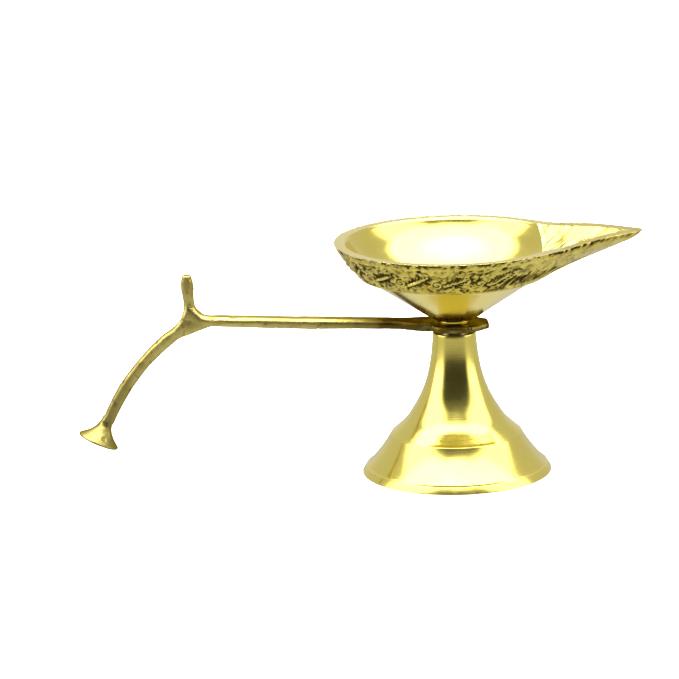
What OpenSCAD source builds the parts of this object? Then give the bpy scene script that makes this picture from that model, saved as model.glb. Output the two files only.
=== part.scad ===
// Brass oil lamp: a spouted bowl and a long handle, clamped to a turned pedestal by a stud and a nut.
// The origin is on the pedestal's axis at floor level, +Z is up and the spout points along +X.

/* [Pedestal] */
// Height of the pedestal, floor to the top of the neck
pedestal_h = 46; // [44:0.5:52]
// Radius of the neck
neck_r = 6.9; // [6:0.1:8]
// Radius of the foot where it meets the floor
foot_r = 30.5; // [28:0.5:34]
// Height of the shoulder line that parts the flare from the skirt
shoulder_z = 13; // [11:0.5:15]
// Radius of the flare at the shoulder
shoulder_r = 20.8; // [19:0.1:23]
// Wall of the hollow foot, measured level
pedestal_wall = 2.4; // [2:0.1:3]
// Height of the hollow's flat ceiling
hollow_h = 30; // [28:0.5:31]

/* [Bowl] */
// Height of the bowl, boss to rim
bowl_h = 27; // [25:0.5:30]
// Outer radius at the rim
rim_r = 38; // [36:0.5:40]
// Inner radius at the rim
rim_inner_r = 34.5; // [33:0.5:35]
// Height of the cast band, from the ledge up to the rim
band_h = 11; // [9:0.5:12]
// Outer radius at the foot of the band
band_foot_r = 30; // [29:0.5:31]
// Radius at the top of the turned cone, under the ledge
cone_top_r = 28.3; // [27:0.1:28.5]
// Radius of the flat boss that rests on the handle
boss_r = 5; // [4.5:0.1:6]

/* [Spout] */
// Reach of the spout's tip from the lamp's axis
spout_reach = 60.8; // [58:0.2:64]
// Rise of the rim from the round part to the tip
spout_lift = 1.6; // [1:0.1:2]
// Angle from the spout's centre line at which the rim leaves the circle
spout_root_deg = 50; // [45:1:55]

/* [Handle] */
// Direction of the bar, turned from -X towards +Y
handle_yaw = 10.5; // [0:0.5:20]
// Thickness of the eye plate
eye_t = 2; // [1.8:0.1:2.2]
// Radius of the eye plate
eye_r = 8.3; // [7.5:0.1:9]
// Width of the bar
bar_w = 6; // [5:0.25:7]
// Thickness of the bar
bar_t = 2.4; // [2:0.1:2.6]
// Distance from the lamp's axis to the middle of the thumb spur
spur_at = 86.6; // [80:0.2:90]
// Height of the spur's tip above the top of the bar
spur_h = 14; // [10:0.5:16]
// Radius of the tail's curve
tail_curve_r = 76; // [72:1:80]
// Radius of the trumpet foot on the tail's end
tail_foot_r = 6.9; // [6:0.1:7.5]

/* [Clamp] */
// Radius of the stud, an M5 thread
stud_r = 2.5; // [2.5:0.1:2.5]
// Radial clearance of the stud in its holes
stud_fit = 0.1; // [0.05:0.01:0.1]
// Radius of both washers
washer_r = 5; // [5:0.1:6]
// Thickness of both washers
washer_t = 1; // [0.8:0.1:1]
// Width of the nut across its flats
nut_flats = 8; // [8:0.1:8]
// Height of the nut
nut_h = 4; // [4:0.1:4]

/* [Hidden] */
$fn = 96;

hole_r = stud_r + stud_fit;
eye_z = pedestal_h + washer_t;
bowl_z = eye_z + eye_t;
rim_z = bowl_z + bowl_h;
band_z = rim_z - band_h;
nut_washer_z = hollow_h - washer_t;
nut_z = nut_washer_z - nut_h;
stud_bottom_z = nut_z - 3;
stud_top_z = bowl_z + 5.5;

polished = [0.86, 0.76, 0.40];
cast = [0.66, 0.57, 0.26];

function mix(a, b, t) = a + (b - a) * t;
function bezier(p, t) = (1 - t) ^ 3 * p[0] + 3 * (1 - t) ^ 2 * t * p[1] + 3 * (1 - t) * t ^ 2 * p[2] + t ^ 3 * p[3];

// ---------------------------------------------------------------- pedestal
neck_taper = 2.7;
skirt_top_z = shoulder_z - 0.2;
skirt_top_r = shoulder_r + 0.3;
skirt_spread = foot_r + 0.6 - skirt_top_r;
skirt_bulge = 1.3;
rim_h = 2.3;
rim_bevel = 1.2;
rim_round = 0.3;
hollow_lip_z = 1.1;

function flare_r(z) =
    let (down = (pedestal_h - z) / (pedestal_h - shoulder_z))
    neck_r + neck_taper * down + (shoulder_r - neck_r - neck_taper) * down ^ 3;
function skirt_r(z) = skirt_top_r + skirt_spread * (1 - z / skirt_top_z) ^ skirt_bulge;
function pedestal_r(z) = z >= shoulder_z ? flare_r(z) : skirt_r(min(z, skirt_top_z));

module pedestal() {
    rim_edge = [for (a = [-90 : 22.5 : 0]) [foot_r - rim_round * (1 - cos(a)), rim_round * (1 + sin(a))]];
    rim_top = [[foot_r - rim_bevel + 0.1, rim_h - 0.2], [foot_r - rim_bevel - 0.15, rim_h]];
    skirt = [for (i = [0 : 8]) let (z = mix(rim_h + 0.3, skirt_top_z, i / 8)) [skirt_r(z), z]];
    flare = [for (i = [0 : 16]) let (z = mix(shoulder_z, pedestal_h - 0.3, i / 16)) [flare_r(z), z]];
    hollow_skirt = [for (i = [0 : 6]) let (z = mix(0, skirt_top_z, i / 6))
        [pedestal_r(max(z, hollow_lip_z)) - pedestal_wall, z]];
    hollow_flare = [for (i = [1 : 10]) let (z = mix(skirt_top_z, hollow_h, i / 10))
        [pedestal_r(z) - pedestal_wall, z]];
    neck_top = [[neck_r - 0.3, pedestal_h], [0, pedestal_h]];
    color(polished)
    difference() {
        rotate_extrude()
            polygon(concat([[0, 0]], rim_edge, rim_top, skirt, flare, neck_top));
        rotate_extrude()
            polygon(concat([[0, -1], [hollow_skirt[0].x, -1]], hollow_skirt, hollow_flare, [[0, hollow_h]]));
        translate([0, 0, hollow_h - 1])
            cylinder(r = hole_r, h = pedestal_h - hollow_h + 2);
    }
}

// ---------------------------------------------------------------- clamp
module washer(z) {
    translate([0, 0, z])
        difference() {
            cylinder(r = washer_r, h = washer_t);
            translate([0, 0, -1])
                cylinder(r = hole_r, h = washer_t + 2);
        }
}

module seat_washer() {
    color(cast) washer(pedestal_h);
}

module nut_washer() {
    color(polished) washer(nut_washer_z);
}

module stud() {
    tip = 0.6;
    color(polished)
    rotate_extrude()
        polygon([
            [0, stud_bottom_z], [stud_r - tip, stud_bottom_z], [stud_r, stud_bottom_z + tip],
            [stud_r, stud_top_z - tip], [stud_r - tip, stud_top_z], [0, stud_top_z]
        ]);
}

module nut() {
    corner_r = nut_flats / 2 / cos(30);
    chamfer = 0.5;
    color(polished)
    difference() {
        intersection() {
            translate([0, 0, nut_z])
                cylinder(r = corner_r, h = nut_h, $fn = 6);
            rotate_extrude()
                polygon([
                    [0, nut_z], [nut_flats / 2, nut_z], [corner_r + 0.2, nut_z + chamfer],
                    [corner_r + 0.2, nut_z + nut_h - chamfer], [nut_flats / 2, nut_z + nut_h], [0, nut_z + nut_h]
                ]);
        }
        translate([0, 0, nut_z - 1])
            cylinder(r = stud_r + stud_fit / 2, h = nut_h + 2);
    }
}

// ---------------------------------------------------------------- handle
// The bar, spur and tail are drawn in the handle's own upright plane: x outwards along the bar, y up.
bar_z = eye_z - 0.1;
bar_top_z = bar_z + bar_t;
tail_centre = [45.8, eye_z - 63.8];
tail_root_deg = 56;
tail_end_deg = 24;
// Sideways tilt of the trumpet foot, as it came from the mould
foot_tilt = 8.5;

function on_tail(deg, r) = tail_centre + r * [cos(deg), sin(deg)];

module upright(thickness) {
    rotate([90, 0, 0])
        translate([0, 0, -thickness / 2])
            linear_extrude(thickness)
                children();
}

module eye_plate() {
    translate([0, 0, eye_z])
        linear_extrude(eye_t)
            union() {
                circle(r = eye_r);
                polygon([[-0.5, -8.1], [5, -8], [7.5, -6.5], [11.3, -2.2], [11, 4.2], [7, 7.4], [0, eye_r]]);
            }
}

module bar() {
    translate([0, 0, bar_z])
        linear_extrude(bar_t)
            polygon([
                [6.5, -5.2], [11, -4], [18, -bar_w / 2], [spur_at - 1, -bar_w / 2],
                [spur_at - 1, bar_w / 2], [18, bar_w / 2], [11, 4], [6.5, 5.2]
            ]);
}

module spur() {
    tip_z = bar_top_z + spur_h;
    upright(bar_w - 2)
        polygon([
            [spur_at - 8.6, bar_z], [spur_at - 8.6, bar_top_z], [spur_at - 4.4, bar_top_z + 0.6],
            [spur_at - 2.7, bar_top_z + 2.4], [spur_at - 1.7, tip_z - 2.4], [spur_at - 0.7, tip_z - 0.2],
            [spur_at + 0.6, tip_z], [spur_at + 2.2, tip_z - 0.7], [spur_at + 2.2, bar_top_z + 2.4],
            [spur_at + 3.4, bar_top_z - 1], [spur_at + 3, bar_z - 3.4], [spur_at - 1, bar_z - 2.6],
            [spur_at - 5, bar_z - 1]
        ]);
}

module tail() {
    half_w = 2.4;
    half_t = 2;
    soft = 1;
    translate([tail_centre.x, 0, tail_centre.y])
        rotate([90, 0, 0])
            rotate([0, 0, tail_end_deg])
                rotate_extrude(angle = tail_root_deg - tail_end_deg)
                    polygon([
                        [tail_curve_r - half_t, -half_w + soft], [tail_curve_r - half_t + soft, -half_w],
                        [tail_curve_r + half_t - soft, -half_w], [tail_curve_r + half_t, -half_w + soft],
                        [tail_curve_r + half_t, half_w - soft], [tail_curve_r + half_t - soft, half_w],
                        [tail_curve_r - half_t + soft, half_w], [tail_curve_r - half_t, half_w - soft]
                    ]);
}

module tail_foot() {
    stem_r = 2.1;
    trumpet_h = 9;
    lip_t = 0.8;
    overlap = 1;
    set_out = 0.5;
    top = on_tail(tail_end_deg, tail_curve_r) + [set_out, 0] + overlap * [-sin(tail_end_deg), cos(tail_end_deg)];
    flare = [for (i = [0 : 8]) let (t = i / 8)
        [stem_r + (tail_foot_r - stem_r) * (1 - t) ^ 2.2, lip_t + t * (trumpet_h - lip_t)]];
    translate([top.x, 0, top.y])
        rotate([0, -tail_end_deg, 0])
            rotate([foot_tilt, 0, 0])
                translate([0, 0, -trumpet_h])
                    rotate_extrude()
                        polygon(concat(
                            [[0, 1.2], [3.4, 1.1], [tail_foot_r - 0.8, 0], [tail_foot_r, 0.3]],
                            flare, [[0, trumpet_h]]
                        ));
}

module handle() {
    color(cast)
    difference() {
        union() {
            eye_plate();
            rotate([0, 0, 180 - handle_yaw]) {
                bar();
                spur();
                tail();
                tail_foot();
            }
        }
        translate([0, 0, eye_z - 1])
            cylinder(r = hole_r, h = eye_t + 2);
    }
}

// ---------------------------------------------------------------- bowl
flank_start = rim_r * [cos(spout_root_deg), sin(spout_root_deg)];
tip_r = 3.6;
tip_join_deg = 56;
root_pull = 10;
tip_pull = 6;
tip_join = [spout_reach - tip_r + tip_r * cos(tip_join_deg), tip_r * sin(tip_join_deg)];
flank = [
    flank_start, flank_start + root_pull * [sin(spout_root_deg), -cos(spout_root_deg)],
    tip_join + tip_pull * [-sin(tip_join_deg), cos(tip_join_deg)], tip_join
];

// One side of the rim in plan, from the spout's tip back to -X, and the angle that each point has on the round base
half_rim = concat(
    [for (a = [0 : 18.67 : 38]) [spout_reach - tip_r + tip_r * cos(a), tip_r * sin(a), a / 9]],
    [for (i = [0 : 13]) let (p = bezier(flank, 1 - i / 14))
        [p.x, p.y, mix(7, spout_root_deg, (i / 14) ^ 0.8)]],
    [for (a = [spout_root_deg : 5 : 180]) [rim_r * cos(a), rim_r * sin(a), a]]
);
last_half = len(half_rim) - 1;
plan = concat(half_rim, [for (i = [last_half - 1 : -1 : 1]) [half_rim[i].x, -half_rim[i].y, -half_rim[i].z]]);
plan_n = len(plan);

// How far a rim point reaches beyond the round bowl, 0 to 1
function beyond(p) = max(0, norm([p.x, p.y]) - rim_r) / (spout_reach - rim_r);
function lift(x) = spout_lift * sin(90 * min(1, max(0, x - rim_r + 4) / (spout_reach - rim_r - 4)));

// The spout's underside runs straight up to the tip and ends in a short upright lip
function keel(t) = 0.9 * t + 0.1 * t ^ 20;

// A point on the outside of the band and spout: i counts around the plan, t runs from the ledge up to the rim
function band_point(i, t) =
    let (p = plan[i], out = beyond(p), base = band_foot_r * [cos(p.z), sin(p.z)])
    let (bulge = 0.5 * sin(180 * t) * (1 - out))
    let (xy = mix(base, [p.x, p.y], t) + bulge * [cos(p.z), sin(p.z)])
    let (rise = mix(t, keel(t), min(1, 3.6 * out)))
    [xy.x, xy.y, band_z + rise * (band_h + lift(p.x))];

module loft(rings) {
    n = len(rings[0]);
    m = len(rings);
    points = concat([for (ring = rings) each ring], [[0, 0, rings[0][0].z], [0, 0, rim_z]]);
    sides = [for (j = [0 : m - 2], i = [0 : n - 1]) let (k = (i + 1) % n, a = j * n, b = (j + 1) * n)
        each [[a + i, b + i, b + k], [a + i, b + k, a + k]]];
    bottom = [for (i = [0 : n - 1]) [m * n, i, (i + 1) % n]];
    top = [for (i = [0 : n - 1]) [m * n + 1, (m - 1) * n + (i + 1) % n, (m - 1) * n + i]];
    polyhedron(points, concat(sides, bottom, top));
}

module band() {
    heights = [0, 0.14, 0.28, 0.42, 0.56, 0.7, 0.84, 0.95, 1];
    loft([for (t = heights) [for (i = [0 : plan_n - 1]) band_point(i, t)]]);
}

module cone() {
    edge = 0.5;
    rotate_extrude()
        polygon([
            [0, bowl_z], [boss_r - edge, bowl_z], [boss_r, bowl_z + edge / 2], [boss_r + edge, bowl_z + edge],
            [cone_top_r, band_z], [cone_top_r, band_z + 0.5], [0, band_z + 0.5]
        ]);
}

// Height of the turned inside above its lowest point: a shallow cone that steepens to the rim
inside_floor_z = rim_z - 20.2;
function inside_rise(r) = 0.42 * (norm([r, 3]) - 3) + 6.9 * (r / rim_inner_r) ^ 8;
function inside_z(r) = mix(inside_floor_z, rim_z, inside_rise(r) / inside_rise(rim_inner_r));

module turned_inside() {
    curve = [for (r = [0 : 1.725 : rim_inner_r - 1]) [r, inside_z(r)]];
    rotate_extrude()
        polygon(concat(curve, [[rim_inner_r, rim_z], [rim_inner_r, rim_z + 4], [0, rim_z + 4]]));
}

// The spout's channel: curved troughs, one behind the other, that narrow and rise towards the tip
channel_start = 25;
channel_end = 54;
channel_x = [25, 28.5, 32, 36, 40, 44, 48, 52.5];
function channel_half(x) = 22 * ((channel_end - x) / (channel_end - channel_start)) ^ 0.85;
function channel_floor(x) = rim_z - 9 + 9.4 * (x - channel_start) / 28;

module channel() {
    steps = 10;
    n = steps + 1;
    m = len(channel_x);
    sections = [for (x = channel_x) [for (i = [0 : steps]) let (u = 2 * i / steps - 1, top = rim_z + lift(x) + 0.4)
        [x, u * channel_half(x), mix(channel_floor(x), max(top, channel_floor(x) + 0.3), u * u)]]];
    lids = [for (x = channel_x) [[x, channel_half(x), rim_z + 5], [x, -channel_half(x), rim_z + 5]]];
    ring = n + 2;
    points = [for (j = [0 : m - 1]) each concat(sections[j], lids[j])];
    sides = [for (j = [0 : m - 2], i = [0 : ring - 1]) let (k = (i + 1) % ring, a = j * ring, b = a + ring)
        each [[a + i, b + k, a + k], [a + i, b + i, b + k]]];
    near = [for (i = [0 : ring - 1]) i];
    far = [for (i = [ring - 1 : -1 : 0]) (m - 1) * ring + i];
    polyhedron(points, concat(sides, [near, far]));
}

module bowl() {
    color(polished)
    difference() {
        union() {
            cone();
            band();
        }
        turned_inside();
        channel();
        translate([0, 0, bowl_z - 1])
            cylinder(r = stud_r + 0.05, h = stud_top_z - bowl_z + 1);
    }
}

pedestal();
seat_washer();
handle();
bowl();
stud();
nut_washer();
nut();
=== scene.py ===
"""The looks of the brass oil lamp: turned brass, a cast band, a rough cast handle and clamp hardware."""

import math

import bmesh
import bpy
import numpy as np
from mathutils import Matrix, Vector


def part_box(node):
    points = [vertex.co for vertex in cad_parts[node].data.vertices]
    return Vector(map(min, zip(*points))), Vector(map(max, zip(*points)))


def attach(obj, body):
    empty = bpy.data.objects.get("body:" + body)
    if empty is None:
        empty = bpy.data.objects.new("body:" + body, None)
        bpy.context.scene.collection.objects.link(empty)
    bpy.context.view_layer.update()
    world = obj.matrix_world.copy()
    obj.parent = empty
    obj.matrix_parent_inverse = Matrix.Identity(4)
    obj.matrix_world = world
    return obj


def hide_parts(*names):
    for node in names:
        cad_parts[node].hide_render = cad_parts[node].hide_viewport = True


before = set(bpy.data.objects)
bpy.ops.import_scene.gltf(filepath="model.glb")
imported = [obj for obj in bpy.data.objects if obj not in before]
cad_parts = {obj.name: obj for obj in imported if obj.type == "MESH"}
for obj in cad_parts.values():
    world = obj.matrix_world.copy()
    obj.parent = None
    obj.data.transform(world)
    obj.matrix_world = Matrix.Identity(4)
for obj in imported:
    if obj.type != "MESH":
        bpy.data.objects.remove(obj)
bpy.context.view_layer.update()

# ------------------------------------------------------------------ sizes, in millimetres
MM = 0.001


def corners(node):
    """Lowest and highest corner of a CAD node, in millimetres."""
    low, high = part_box(node)
    return np.array(low) / MM, np.array(high) / MM


PEDESTAL_H = corners("pedestal")[1][2]
FOOT_R = corners("pedestal")[1][0]
NECK_R, NECK_TAPER = 6.9, 2.7
SHOULDER_Z, SHOULDER_R = 13.0, 20.8
SKIRT_TOP_Z, SKIRT_TOP_R = SHOULDER_Z - 0.2, SHOULDER_R + 0.3
SKIRT_SLOPE, SKIRT_CURVE = 0.52, 0.0206
WAIST_DEPTH, WAIST_ABOVE, WAIST_SPREAD = 0.36, 4.4, 2.7
RIM_H, RIM_BEVEL = 2.3, 1.2
HOLLOW_LIP_Z = 1.1
WALL = 2.4
HOLLOW_H = corners("nut_washer")[1][2]
HOLE_R = 2.6

BOWL_Z = corners("bowl")[0][2]
RIM_R = corners("bowl")[1][1]
REACH = corners("bowl")[1][0]
RIM_Z = BOWL_Z + 27.0
RIM_INNER_R = 34.5
BAND_Z = RIM_Z - 11.0
BAND_FOOT_R = 30.0
STROKES_FROM, STROKES_TO = 9.0, 44.0
CONE_TOP_R = 28.3
BOSS_R = 5.0
SPOUT_LIFT = corners("bowl")[1][2] - RIM_Z
SPOUT_ROOT = math.radians(50)
INSIDE_Z = RIM_Z - 20.2

EYE_Z = BOWL_Z - 2.0
YAW = math.radians(10.5)
BAR_Z = EYE_Z + 1.1
BAR_FROM, BAR_TO = 6.5, 85
SPUR_AT = 86.6
TAIL_CENTRE = np.array([45.8, EYE_Z - 63.8])
TAIL_R = 76.0

STUD_R, PITCH, THREAD_DEPTH = 2.5, 0.8, 0.43
BORE_R = STUD_R + 0.05
GAP = 0.01


# ------------------------------------------------------------------ number tools
def mix(a, b, t):
    """The value a share t of the way from a to b."""
    return a + (b - a) * t


def smooth(t):
    """An eased step: 0 up to t = 0 and 1 from t = 1."""
    t = np.clip(t, 0, 1)
    return t * t * (3 - 2 * t)


def lattice(i, j, k, seed):
    """A repeatable value from -1 to 1 for each whole-number point."""
    h = i * 374761393 + j * 668265263 + k * 1440662683 + seed * 1442695041
    h = (h ^ (h >> 13)) * 1274126177
    h = h ^ (h >> 16)
    return (h & 0xFFFF) / 32767.5 - 1.0


def noise(p, size, seed=0):
    """Smooth lattice noise from -1 to 1 at points p, with features of the given size."""
    q = np.asarray(p, float) / size
    cell = np.floor(q).astype(np.int64)
    f = q - cell
    f = f * f * (3 - 2 * f)
    total = np.zeros(len(q))
    for corner in range(8):
        d = np.array([corner & 1, corner >> 1 & 1, corner >> 2 & 1])
        weight = np.prod(np.where(d, f, 1 - f), axis=1)
        total += weight * lattice(*(cell + d).T, seed)
    return total


def layered(p, size, octaves=3, seed=0):
    """Noise in octaves, each half the size and half as strong."""
    return sum(noise(p, size / 2**o, seed + o) / 2**o for o in range(octaves))


def bezier(p, t):
    """Points at the shares t of a cubic curve with the four control points p."""
    t = np.asarray(t, float)[:, None]
    return (1 - t) ** 3 * p[0] + 3 * (1 - t) ** 2 * t * p[1] + 3 * (1 - t) * t**2 * p[2] + t**3 * p[3]


def filleted(points, steps=5):
    """An outline of (r, z, fillet) corners, each rounded by its own fillet."""
    out = []
    n = len(points)
    for i, (r, z, fillet) in enumerate(points):
        here = np.array([r, z])
        if fillet <= 0:
            out.append(here)
            continue
        before = np.array(points[i - 1][:2]) - here
        after = np.array(points[(i + 1) % n][:2]) - here
        a = here + before / np.linalg.norm(before) * fillet
        b = here + after / np.linalg.norm(after) * fillet
        for t in np.linspace(0, 1, steps):
            out.append((1 - t) ** 2 * a + 2 * t * (1 - t) * here + t * t * b)
    return np.array(out)


def split_long(points, longest):
    """The closed outline with its long edges cut into lengths of at most longest."""
    out = []
    for i, a in enumerate(points):
        b = points[(i + 1) % len(points)]
        cuts = max(1, math.ceil(np.linalg.norm(b - a) / longest))
        out += [mix(a, b, c / cuts) for c in range(cuts)]
    return np.array(out)


# ------------------------------------------------------------------ mesh tools
def grid_faces(rows, cols, close_rows=False):
    """Quads of a grid whose columns wrap round. close_rows joins the last row to the first."""
    last = rows if close_rows else rows - 1
    r, c = np.meshgrid(np.arange(last), np.arange(cols), indexing="ij")
    a, b = r * cols, (r + 1) % rows * cols
    d = (c + 1) % cols
    return np.stack([a + c, a + d, b + d, b + c], axis=-1).reshape(-1, 4)


def new_object(name, points, faces, materials, face_slot=None, sharp=None, relief=None):
    """A mesh object from points in millimetres, shaded smooth.

    sharp is (the row of each point, the rows to crease): edges that run along those rows are hard.
    """
    mesh = bpy.data.meshes.new(name)
    mesh.from_pydata((np.asarray(points) * MM).tolist(), [], [list(map(int, f)) for f in faces])
    for material in materials:
        mesh.materials.append(material)
    mesh.polygons.foreach_set("use_smooth", np.ones(len(faces), bool))
    if face_slot is not None:
        mesh.polygons.foreach_set("material_index", np.asarray(face_slot, np.int32))
    height = np.zeros(len(points)) if relief is None else relief
    mesh.attributes.new("relief", "FLOAT", "POINT").data.foreach_set("value", height.astype(np.float32))
    if sharp is not None:
        row_of, rows = sharp
        ends = np.zeros(len(mesh.edges) * 2, np.int64)
        mesh.edges.foreach_get("vertices", ends)
        ends = row_of[ends.reshape(-1, 2)]
        hard = (ends[:, 0] == ends[:, 1]) & np.isin(ends[:, 0], list(rows))
        mesh.attributes.new("sharp_edge", "BOOLEAN", "EDGE").data.foreach_set("value", hard)
    obj = bpy.data.objects.new(name, mesh)
    bpy.context.scene.collection.objects.link(obj)
    return obj


def weld(obj, distance=0.002):
    """Merges points that coincide, such as those of a pole, and drops faces that vanish."""
    bm = bmesh.new()
    bm.from_mesh(obj.data)
    bmesh.ops.remove_doubles(bm, verts=bm.verts, dist=distance * MM)
    bmesh.ops.dissolve_degenerate(bm, edges=bm.edges, dist=distance * MM / 10)
    bmesh.ops.recalc_face_normals(bm, faces=bm.faces)
    bm.to_mesh(obj.data)
    bm.free()
    obj.data.update()


def ring_points(outline, segments, radius_of=None):
    """Points of an outline turned round Z, row by row. radius_of(r, z, angle) may change the radius."""
    angle = np.linspace(0, 2 * np.pi, segments, endpoint=False)
    r = np.repeat(outline[:, 0:1], segments, axis=1)
    z = np.repeat(outline[:, 1:2], segments, axis=1)
    a = np.repeat(angle[None, :], len(outline), axis=0)
    if radius_of is not None:
        r = radius_of(r, z, a)
    return np.stack([r * np.cos(a), r * np.sin(a), z], axis=-1)


def turned(name, outline, segments, materials, face_slot=None, radius_of=None, shape=None):
    """A solid of revolution from a closed outline, with its own row-by-row material slots."""
    points = ring_points(outline, segments, radius_of)
    if shape is not None:
        points = shape(points)
    faces = grid_faces(len(outline), segments, close_rows=True)
    slots = None if face_slot is None else np.repeat(face_slot, segments)
    obj = new_object(name, points.reshape(-1, 3), faces, materials, slots)
    weld(obj)
    return obj


# ------------------------------------------------------------------ materials
class Graph:
    """Short names for building a node tree."""

    def __init__(self, tree):
        self.tree = tree

    def link(self, value, socket):
        """Links value to the socket if it is a socket too, and otherwise sets it there."""
        if isinstance(value, bpy.types.NodeSocket):
            self.tree.links.new(value, socket)
        else:
            socket.default_value = value

    def add(self, kind, inputs=None, **settings):
        node = self.tree.nodes.new(kind)
        for key, value in settings.items():
            setattr(node, key, value)
        for key, value in (inputs or {}).items():
            self.link(value, node.inputs[key])
        return node

    def math(self, operation, a, b=0.0, clamp=False):
        return self.add("ShaderNodeMath", {0: a, 1: b}, operation=operation, use_clamp=clamp).outputs[0]

    def product(self, *factors):
        total = factors[0]
        for factor in factors[1:]:
            total = self.math("MULTIPLY", total, factor)
        return total

    def remap(self, value, low, high, to_low, to_high, how="LINEAR"):
        inputs = {0: value, 1: low, 2: high, 3: to_low, 4: to_high}
        return self.add("ShaderNodeMapRange", inputs, interpolation_type=how).outputs[0]

    def step(self, value, low, high):
        """0 at low and 1 at high, with a soft change between. low may be above high."""
        if low < high:
            return self.remap(value, low, high, 0.0, 1.0, "SMOOTHSTEP")
        return self.remap(value, high, low, 1.0, 0.0, "SMOOTHSTEP")

    def lerp(self, factor, a, b):
        return self.add("ShaderNodeMix", {0: factor, 2: a, 3: b}, data_type="FLOAT").outputs[0]


class Finish(Graph):
    """A node material for one of the lamp's surfaces."""

    def __init__(self, name):
        self.material = bpy.data.materials.new(name)
        self.material.use_nodes = True
        super().__init__(self.material.node_tree)
        self.shader = self.tree.nodes["Principled BSDF"]
        self.place = self.add("ShaderNodeTexCoord").outputs["Object"]

    def noise(self, scale, detail=3.0, rough=0.5, vector=None):
        inputs = {"Vector": vector or self.place, "Scale": scale, "Detail": detail, "Roughness": rough}
        return self.add("ShaderNodeTexNoise", inputs).outputs["Fac"]

    def ramp(self, fac, stops):
        node = self.add("ShaderNodeValToRGB", {"Fac": fac})
        elements = node.color_ramp.elements
        while len(elements) < len(stops):
            elements.new(0.5)
        for element, (at, colour) in zip(elements, stops):
            element.position = at
            element.color = (*colour, 1)
        return node.outputs["Color"]

    def blend(self, fac, a, b):
        node = self.add("ShaderNodeMix", data_type="RGBA")
        self.link(fac, node.inputs[0])
        for value, socket in ((a, node.inputs[6]), (b, node.inputs[7])):
            self.link((*value, 1) if isinstance(value, tuple) else value, socket)
        return node.outputs[2]

    def bump(self, height, distance, strength=1.0):
        inputs = {"Height": height, "Distance": distance, "Strength": strength}
        return self.add("ShaderNodeBump", inputs).outputs["Normal"]

    def from_axis(self):
        """Distance from the lamp's axis, then x and the height above the floor, in metres."""
        x, y, z = self.add("ShaderNodeSeparateXYZ", {0: self.place}).outputs
        squares = self.math("ADD", self.math("MULTIPLY", x, x), self.math("MULTIPLY", y, y))
        return self.math("SQRT", squares), x, z

    def around_axis(self, along=1.0, across=0.02):
        """Coordinates that run round the lamp's axis: radius and height, with the angle almost left out."""
        radius, x, z = self.from_axis()
        made = self.add("ShaderNodeCombineXYZ", {
            0: self.math("MULTIPLY", radius, along), 1: self.math("MULTIPLY", x, across),
            2: self.math("MULTIPLY", z, along),
        })
        return made.outputs[0]

    def finish(self, **inputs):
        for key, value in inputs.items():
            self.link(value, self.shader.inputs[key.replace("_", " ")])
        return self.material


BRASS = (0.87, 0.735, 0.17)
BRASS_WARM = (0.84, 0.66, 0.13)
BROWN = (0.26, 0.165, 0.04)
HEATED = (0.125, 0.082, 0.014)
PATINA = (0.34, 0.28, 0.085)
# Dark brown for the low places of cast brass: partly patina and partly painted shade
RECESS_PATINA_AND_SHADE = (0.045, 0.028, 0.006)


def polished_brass():
    """Turned and buffed brass: fine rings from the lathe, soft smudges and a faint warm tarnish."""
    m = Finish("polished_brass")
    rings = m.noise(1400, 2, 0.6, m.around_axis())
    tarnish = m.noise(45, 4, 0.6)
    smudge = m.noise(120, 3, 0.55)
    colour = m.blend(m.remap(tarnish, 0.42, 0.75, 0.0, 0.6), BRASS, BRASS_WARM)
    rough = m.math("ADD", m.remap(smudge, 0.35, 0.7, 0.10, 0.18), m.remap(rings, 0.3, 0.7, 0.0, 0.04))
    scratches = m.noise(900, 2, 0.5, m.around_axis(0.25, 0.9))
    height = m.math("ADD", rings, m.math("MULTIPLY", scratches, 0.3))
    return m.finish(
        Base_Color=colour, Metallic=1.0, Roughness=rough, Normal=m.bump(height, 0.000012, 0.55)
    )


def cast_brass(name, colour, warm, rough_low, rough_high, grain, recess_depth, browned=False, rubbed=0.0):
    """Brass as it leaves the mould: sand grain, patches of patina, and in the low places dark patina together
    with painted shade.

    browned darkens the handle round its eye and at its foot. rubbed is how far raised places are worn bright.
    """
    m = Finish(name)
    relief = m.add("ShaderNodeAttribute", attribute_name="relief").outputs["Fac"]
    grains = m.noise(1500, 4, 0.65)
    patches = m.noise(140, 4, 0.6)
    fine = m.noise(520, 3, 0.6)
    body = m.blend(m.remap(patches, 0.38, 0.68, 0.0, 1.0), colour, warm)
    pits = m.remap(fine, 0.60, 0.74, 0.0, 0.8)
    body = m.blend(pits, body, BROWN)
    if browned:
        from_axis = m.from_axis()[0]
        radius = m.math("ADD", from_axis, m.remap(patches, 0.3, 0.7, -0.008, 0.008))
        near = m.product(m.remap(radius, 0.020, 0.046, 1.0, 0.0), m.remap(radius, 0.004, 0.012, 0.6, 1.0))
        body = m.blend(near, body, HEATED)
        body = m.blend(m.remap(from_axis, 0.102, 0.113, 0.0, 0.95), body, PATINA)
    if rubbed:
        raised = m.math("ADD", relief, m.remap(grains, 0.3, 0.7, -0.12, 0.12))
        body = m.blend(m.remap(raised, 0.0, 0.14, 0.0, rubbed), body, BRASS)
    # Painted shade: the low places of the relief are darkened towards a dark brown, part patina and part the
    # shade that falls in them
    low = m.remap(relief, -recess_depth, -recess_depth * 0.15, 1.0, 0.0)
    low = m.math("MULTIPLY", low, m.remap(grains, 0.25, 0.6, 0.8, 1.0), clamp=True)
    body = m.blend(low, body, RECESS_PATINA_AND_SHADE)
    rough = m.math("ADD", m.remap(patches, 0.3, 0.7, rough_low, rough_high), m.math("MULTIPLY", low, 0.25))
    height = m.math("ADD", m.math("MULTIPLY", grains, 0.6), fine)
    return m.finish(
        Base_Color=body, Metallic=1.0, Roughness=rough, Normal=m.bump(height, grain, 0.8),
        Specular_Tint=(*warm, 1) if browned else (1, 1, 1, 1),
    )


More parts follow.
